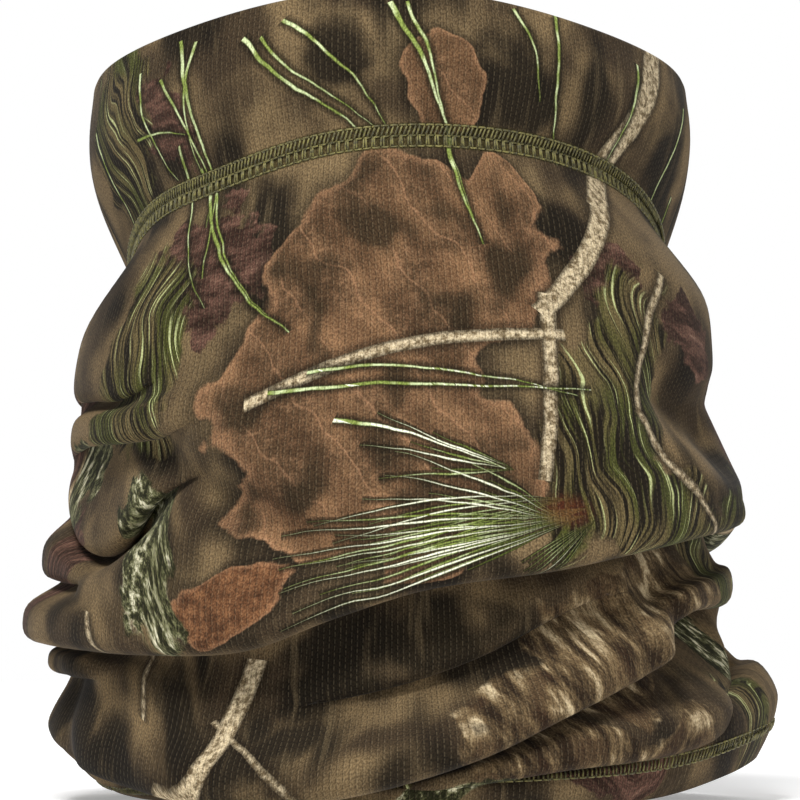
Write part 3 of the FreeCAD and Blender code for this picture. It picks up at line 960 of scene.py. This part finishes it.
def spray_paint(net, u, v, flat):
    """Mm outside the nearest needle of any spray, that needle's tone, and how near the root is."""
    outside, tone = FAR_OFF, 0.5
    for number, (root, (low, high), reach, width, count, curl) in enumerate(SPRAYS):
        du, dv = net.less(u, root[0]), net.less(v, root[1])
        far = net.math("SQRT", net.add(net.times(du, du), net.times(dv, dv)))
        bent = net.add(net.math("ARCTAN2", dv, net.times(du, -1)), net.times(far, curl))
        step = (high - low) / count
        lane = net.times(net.less(bent, low), 1 / step)
        seed = net.add(net.math("FLOOR", lane), 3.7 * number + 0.2)
        pick = net.new("ShaderNodeTexWhiteNoise", noise_dimensions="1D")
        pick = net.fill(pick, {"W": seed}).outputs[0]
        place = net.less(net.math("FRACT", lane), net.add(0.2, net.times(pick, 0.6)))
        off = net.size(net.times(net.times(place, far), step))
        end = net.times(net.add(0.45, net.times(pick, 0.55)), reach)
        half = net.times(net.less(1.15, net.math("DIVIDE", far, end)), width)
        half = net.math("MINIMUM", half, net.times(far, 0.24 * step))
        aside = net.size(net.less(lane, count / 2))
        beyond = net.top(net.math("GREATER_THAN", aside, count / 2),
                         net.math("GREATER_THAN", far, end))
        own = net.add(net.less(off, half), net.times(beyond, FAR_OFF))
        tone = net.mix_value(net.math("LESS_THAN", own, outside), tone, pick)
        outside = net.math("MINIMUM", outside, own)
    return outside, tone, net.ramp(net.oval(u, v, *SPRAY_ROOT, 0.0), 1.0, 0.2)


def backdrop_paint(net, u, v, flat):
    """The print's blurred distance behind everything: taupe clouds with soft dark patches; those low
    on the front are painted shade under the main lip and in the folds below it.
    """
    cloud = net.noise(flat, 20, 2, 0.45)
    tall = net.noise(net.vector(u, net.times(v, 0.55), 12), 16, 1)
    colour = net.mix(net.ramp(cloud, 0.36, 0.62), paint(66, 55, 41), paint(114, 98, 73))
    dark_print_and_shade = net.patches(u, v, DARK_PRINT_AND_PAINTED_SHADE, net.ragged(flat, 12, 2, 1.6), 1.35, 0.55)
    # The print's dark patches and the painted shade under the main lip, laid on together.
    colour = net.wash(colour, paint(29, 24, 17), net.top(net.ramp(tall, 0.5, 0.7), dark_print_and_shade), 0.92)
    streak = net.noise(net.vector(u, net.times(v, 0.12), 2), 3, 3)
    return (net.wash(colour, paint(136, 120, 92), net.ramp(streak, 0.55, 0.75), 0.25),)


REPEAT = GIRTH / 2      # mm, the print's repeat round the tube


def camouflage(net):
    """The print's colour, with painted shade in its backdrop under the main lip, and the cloth's flat
    coordinates in mm.
    """
    place = net.new("ShaderNodeUVMap", uv_map="flat_cloth").outputs[0]
    real_u, v, _ = net.fill(net.new("ShaderNodeSeparateXYZ"), {0: place}).outputs
    lap = net.math("FLOOR", net.add(net.times(real_u, 1 / REPEAT), 0.5))
    u = net.less(real_u, net.times(lap, REPEAT))
    angle = net.times(real_u, 2 * math.pi / GIRTH)
    radius = GIRTH / (2 * math.pi)
    flat = net.vector(net.times(net.math("SINE", angle), radius),
                      net.times(net.math("COSINE", angle), radius), v)
    waver = net.ragged(flat, 14, 2, 3.0)
    here = (net.add(u, waver), net.add(v, net.times(waver, 0.6)), flat)

    # The backdrop also carries the painted shade under the main lip and in the lower folds.
    colour, = in_group(net, "backdrop", backdrop_paint, here, "C")
    for name, recipe in (("trunk", trunk_paint), ("bark", bark_paint), ("curtain", curtain_paint)):
        mask, tone = in_group(net, name, recipe, here, "FC")
        colour = net.mix(mask, colour, tone)
    mask, shade, tone = in_group(net, "leaf", leaf_paint, here, "FFC")
    colour = net.wash(colour, paint(34, 28, 19), shade, 0.6)
    colour = net.mix(mask, colour, tone)
    mask, tone = in_group(net, "lichen", lichen_paint, here, "FC")
    colour = net.mix(mask, colour, tone)

    outside, = in_group(net, "twigs", strokes_paint(TWIGS, 0.2), here, "F")
    colour = net.wash(colour, paint(36, 28, 18), net.ramp(outside, 2.6, 0.0), 0.6)
    grain = net.noise(flat, 1.6, 4, 0.7)
    twig = net.mix(net.ramp(grain, 0.36, 0.62), paint(108, 94, 71), paint(186, 173, 147))
    twig = net.wash(twig, paint(52, 43, 30), net.ramp(outside, -1.2, 0.0), 0.75)
    colour = net.mix(net.ramp(outside, 0.12, -0.12), colour, twig)
    needles, = in_group(net, "needles", strokes_paint(NEEDLES, 0.65), here, "F")
    sprays, tone, root = in_group(net, "sprays", spray_paint, here, "FFF")
    outside = net.math("MINIMUM", needles, sprays)
    colour = net.wash(colour, paint(30, 25, 14), net.ramp(outside, 1.8, 0.0), 0.75)
    colour = net.wash(colour, paint(92, 50, 32), root, 0.6)
    broad = net.ramp(net.noise(flat, 6, 1), 0.4, 0.6)
    needle = net.mix(broad, paint(126, 138, 76), paint(182, 190, 152))
    needle = net.mix(net.ramp(tone, 0.35, 0.1), needle, paint(84, 94, 44))
    needle = net.mix(net.ramp(tone, 0.68, 0.84), needle, paint(216, 216, 198))
    needle = net.mix(net.ramp(outside, -0.35, 0.0), needle, paint(64, 68, 32))
    needle = net.wash(needle, paint(140, 96, 66), root, 0.35)
    return net.mix(net.ramp(outside, 0.1, -0.08), colour, needle), real_u, v


DASH_ACROSS = 1.4       # mm between the knit's columns of dashes
DASH_ALONG = 1.7        # mm from dash to dash


def knit(net, u, v):
    """The knit's columns of dashes: the depth of each dent, which also darkens it as painted shade,
    the painted highlight on the edge beside each, and a fine speckle.
    """
    column = net.times(u, 1 / DASH_ACROSS)
    stagger = net.math("FRACT", net.times(net.math("FLOOR", column), 0.5))
    along = net.math("FRACT", net.add(net.times(v, 1 / DASH_ALONG), stagger))
    length = net.ramp(net.size(net.less(along, 0.5)), 0.4, 0.3)
    part = net.math("FRACT", column)
    dent_and_shade = net.times(net.ramp(net.size(net.less(part, 0.42)), 0.14, 0.05), length)
    shine = net.times(net.ramp(net.size(net.less(part, 0.62)), 0.14, 0.04), length)
    loops = net.noise(net.vector(u, net.times(v, 0.7)), 0.42, 1)
    return dent_and_shade, shine, loops


def new_material(name):
    """A material, the net of its nodes, and its shader."""
    material = bpy.data.materials.new(name)
    material.use_nodes = True
    return material, Net(material.node_tree), material.node_tree.nodes["Principled BSDF"]


def add_bump(net, shader, height, strength, depth):
    """Bump from a height of 0 to 1, depth mm deep."""
    values = {"Strength": strength, "Distance": depth * MM, "Height": height}
    net.put(net.fill(net.new("ShaderNodeBump"), values).outputs[0], shader.inputs["Normal"])


INK_CONTRAST = 1.15     # how much deeper the printed inks are than the colours painted above
INK_GAIN = 1.46         # how much lighter after that, so that a middle brown stays as it is


def cloth_material():
    """The printed, brushed knit, with painted shade in its dents and under the main lip, and a
    painted highlight beside each dent.
    """
    material, net, shader = new_material("camouflage_knit")
    colour, u, v = camouflage(net)
    dash_dent_and_shade, shine, loops = knit(net, u, v)
    under_seam = net.ramp(net.size(v), LINE_GAP + 0.9, LINE_GAP + 0.3)
    colour = net.wash(colour, paint(58, 54, 27), under_seam, 0.7)
    # Painted shade in the knit's dents, then a painted highlight on the edge beside each.
    colour = net.wash(colour, paint(22, 17, 11), dash_dent_and_shade, 0.3)
    colour = net.wash(colour, paint(186, 172, 142), shine, 0.08)
    speckle = net.mix(net.ramp(loops, 0.36, 0.64), paint(60, 60, 60), paint(196, 196, 196))
    colour = net.mix(0.5, colour, speckle, "SOFT_LIGHT")
    deeper = net.fill(net.new("ShaderNodeGamma"), {"Color": colour, "Gamma": INK_CONTRAST})
    net.fill(shader, {
        "Base Color": net.scaled(deeper.outputs[0], INK_GAIN),
        "Roughness": net.add(0.78, net.times(loops, 0.2)),
        "Sheen Weight": 0.03, "Sheen Roughness": 0.5, "Specular IOR Level": 0.1,
    })
    relief = net.less(net.add(loops, net.times(shine, 0.4)), dash_dent_and_shade)
    add_bump(net, shader, relief, 0.35, 0.15)
    return material


def thread_material(name, dark, light):
    """A spun thread: a slow change of colour along it and a fine fuzz."""
    material, net, shader = new_material(name)
    place = net.scaled(net.new("ShaderNodeTexCoord").outputs["Object"], 1 / MM)
    tone = net.ramp(net.noise(place, 1.3, 3, 0.7), 0.35, 0.65)
    values = {"Base Color": net.mix(tone, dark, light), "Roughness": 0.55, "Sheen Weight": 0.1}
    net.fill(shader, values)
    add_bump(net, shader, net.noise(place, 0.25, 1), 0.4, 0.08)
    return material


WARP = 0.35             # mm, the label's yarns from side to side
WEFT = 0.45             # mm, its yarns up and down


def label_material():
    """A satin-woven label of fine crossing threads."""
    material, net, shader = new_material("label_weave")
    place = net.new("ShaderNodeTexCoord").outputs["Object"]
    x, _, z = net.fill(net.new("ShaderNodeSeparateXYZ"), {0: place}).outputs
    warp = net.math("SINE", net.times(x, 2 * math.pi / (WARP * MM)))
    weft = net.math("SINE", net.times(z, 2 * math.pi / (WEFT * MM)))
    weave = net.add(net.times(net.times(warp, weft), 0.5), 0.5)
    colour = net.mix(weave, paint(186, 180, 164), paint(208, 203, 190))
    net.fill(shader, {"Base Color": colour, "Roughness": 0.6})
    add_bump(net, shader, weave, 0.4, 0.1)
    return material


FINISHES = {
    "camouflage_knit": cloth_material(),
    "seam_thread": thread_material("seam_thread", paint(62, 58, 26), paint(120, 113, 58)),
    "label_weave": label_material(),
    "label_thread": thread_material("label_thread", paint(160, 154, 136), paint(196, 190, 172)),
}
for piece, node in NODES:
    piece.data.materials.append(FINISHES[SLOTS[node]])

# ------------------------------------------------------------------ stage

DISTANCE = 2.4          # m from the camera to the tube's axis
VIEW_HEIGHT = 0.204     # m of the scene that the picture holds, top to bottom
SENSOR = 36             # mm
floor_mesh = bpy.data.meshes.new("floor")
floor_mesh.from_pydata([(-1, -1, 0), (1, -1, 0), (1, 1, 0), (-1, 1, 0)], [], [(0, 1, 2, 3)])
floor = add_object("floor", floor_mesh)
floor_paint, floor_net, floor_shader = new_material("floor_paint")
floor_net.fill(floor_shader, {
    "Base Color": (0.95, 0.95, 0.95, 1), "Roughness": 0.9,
    "Emission Color": (1, 1, 1, 1), "Emission Strength": 0.3,
})
floor_mesh.materials.append(floor_paint)

WORLD_LIGHT = 0.14      # the white surroundings light the piece weakly, but the camera sees white
world = bpy.data.worlds.new("studio")
world.use_nodes = True
sky = Net(world.node_tree)
seen = sky.new("ShaderNodeLightPath").outputs["Is Camera Ray"]
sky.fill(world.node_tree.nodes["Background"], {
    "Color": (1, 1, 1, 1), "Strength": sky.mix_value(seen, WORLD_LIGHT, 1.0),
})
bpy.context.scene.world = world
bpy.context.scene.view_settings.view_transform = "Standard"


def area_light(name, place_m, size, power):
    """A square lamp that faces the middle of the piece."""
    light = bpy.data.lights.new(name, "AREA")
    light.size = size
    light.energy = power
    lamp = add_object(name, light)
    lamp.location = place_m
    toward = Vector((0, 0, 0.1)) - Vector(place_m)
    lamp.rotation_euler = toward.to_track_quat("-Z", "Y").to_euler()


area_light("key", (-0.3, -1.0, 1.4), 0.6, 34)
area_light("fill", (1.1, -1.0, 0.7), 0.7, 4)
area_light("back", (0.2, 1.2, 1.2), 1.0, 9)

camera_data = bpy.data.cameras.new("camera")
camera_data.lens = SENSOR * DISTANCE / VIEW_HEIGHT
camera = add_object("camera", camera_data)
camera.location = (0, -DISTANCE, VIEW_HEIGHT / 2)
camera.rotation_euler = (math.radians(90), 0, 0)
bpy.context.scene.camera = camera
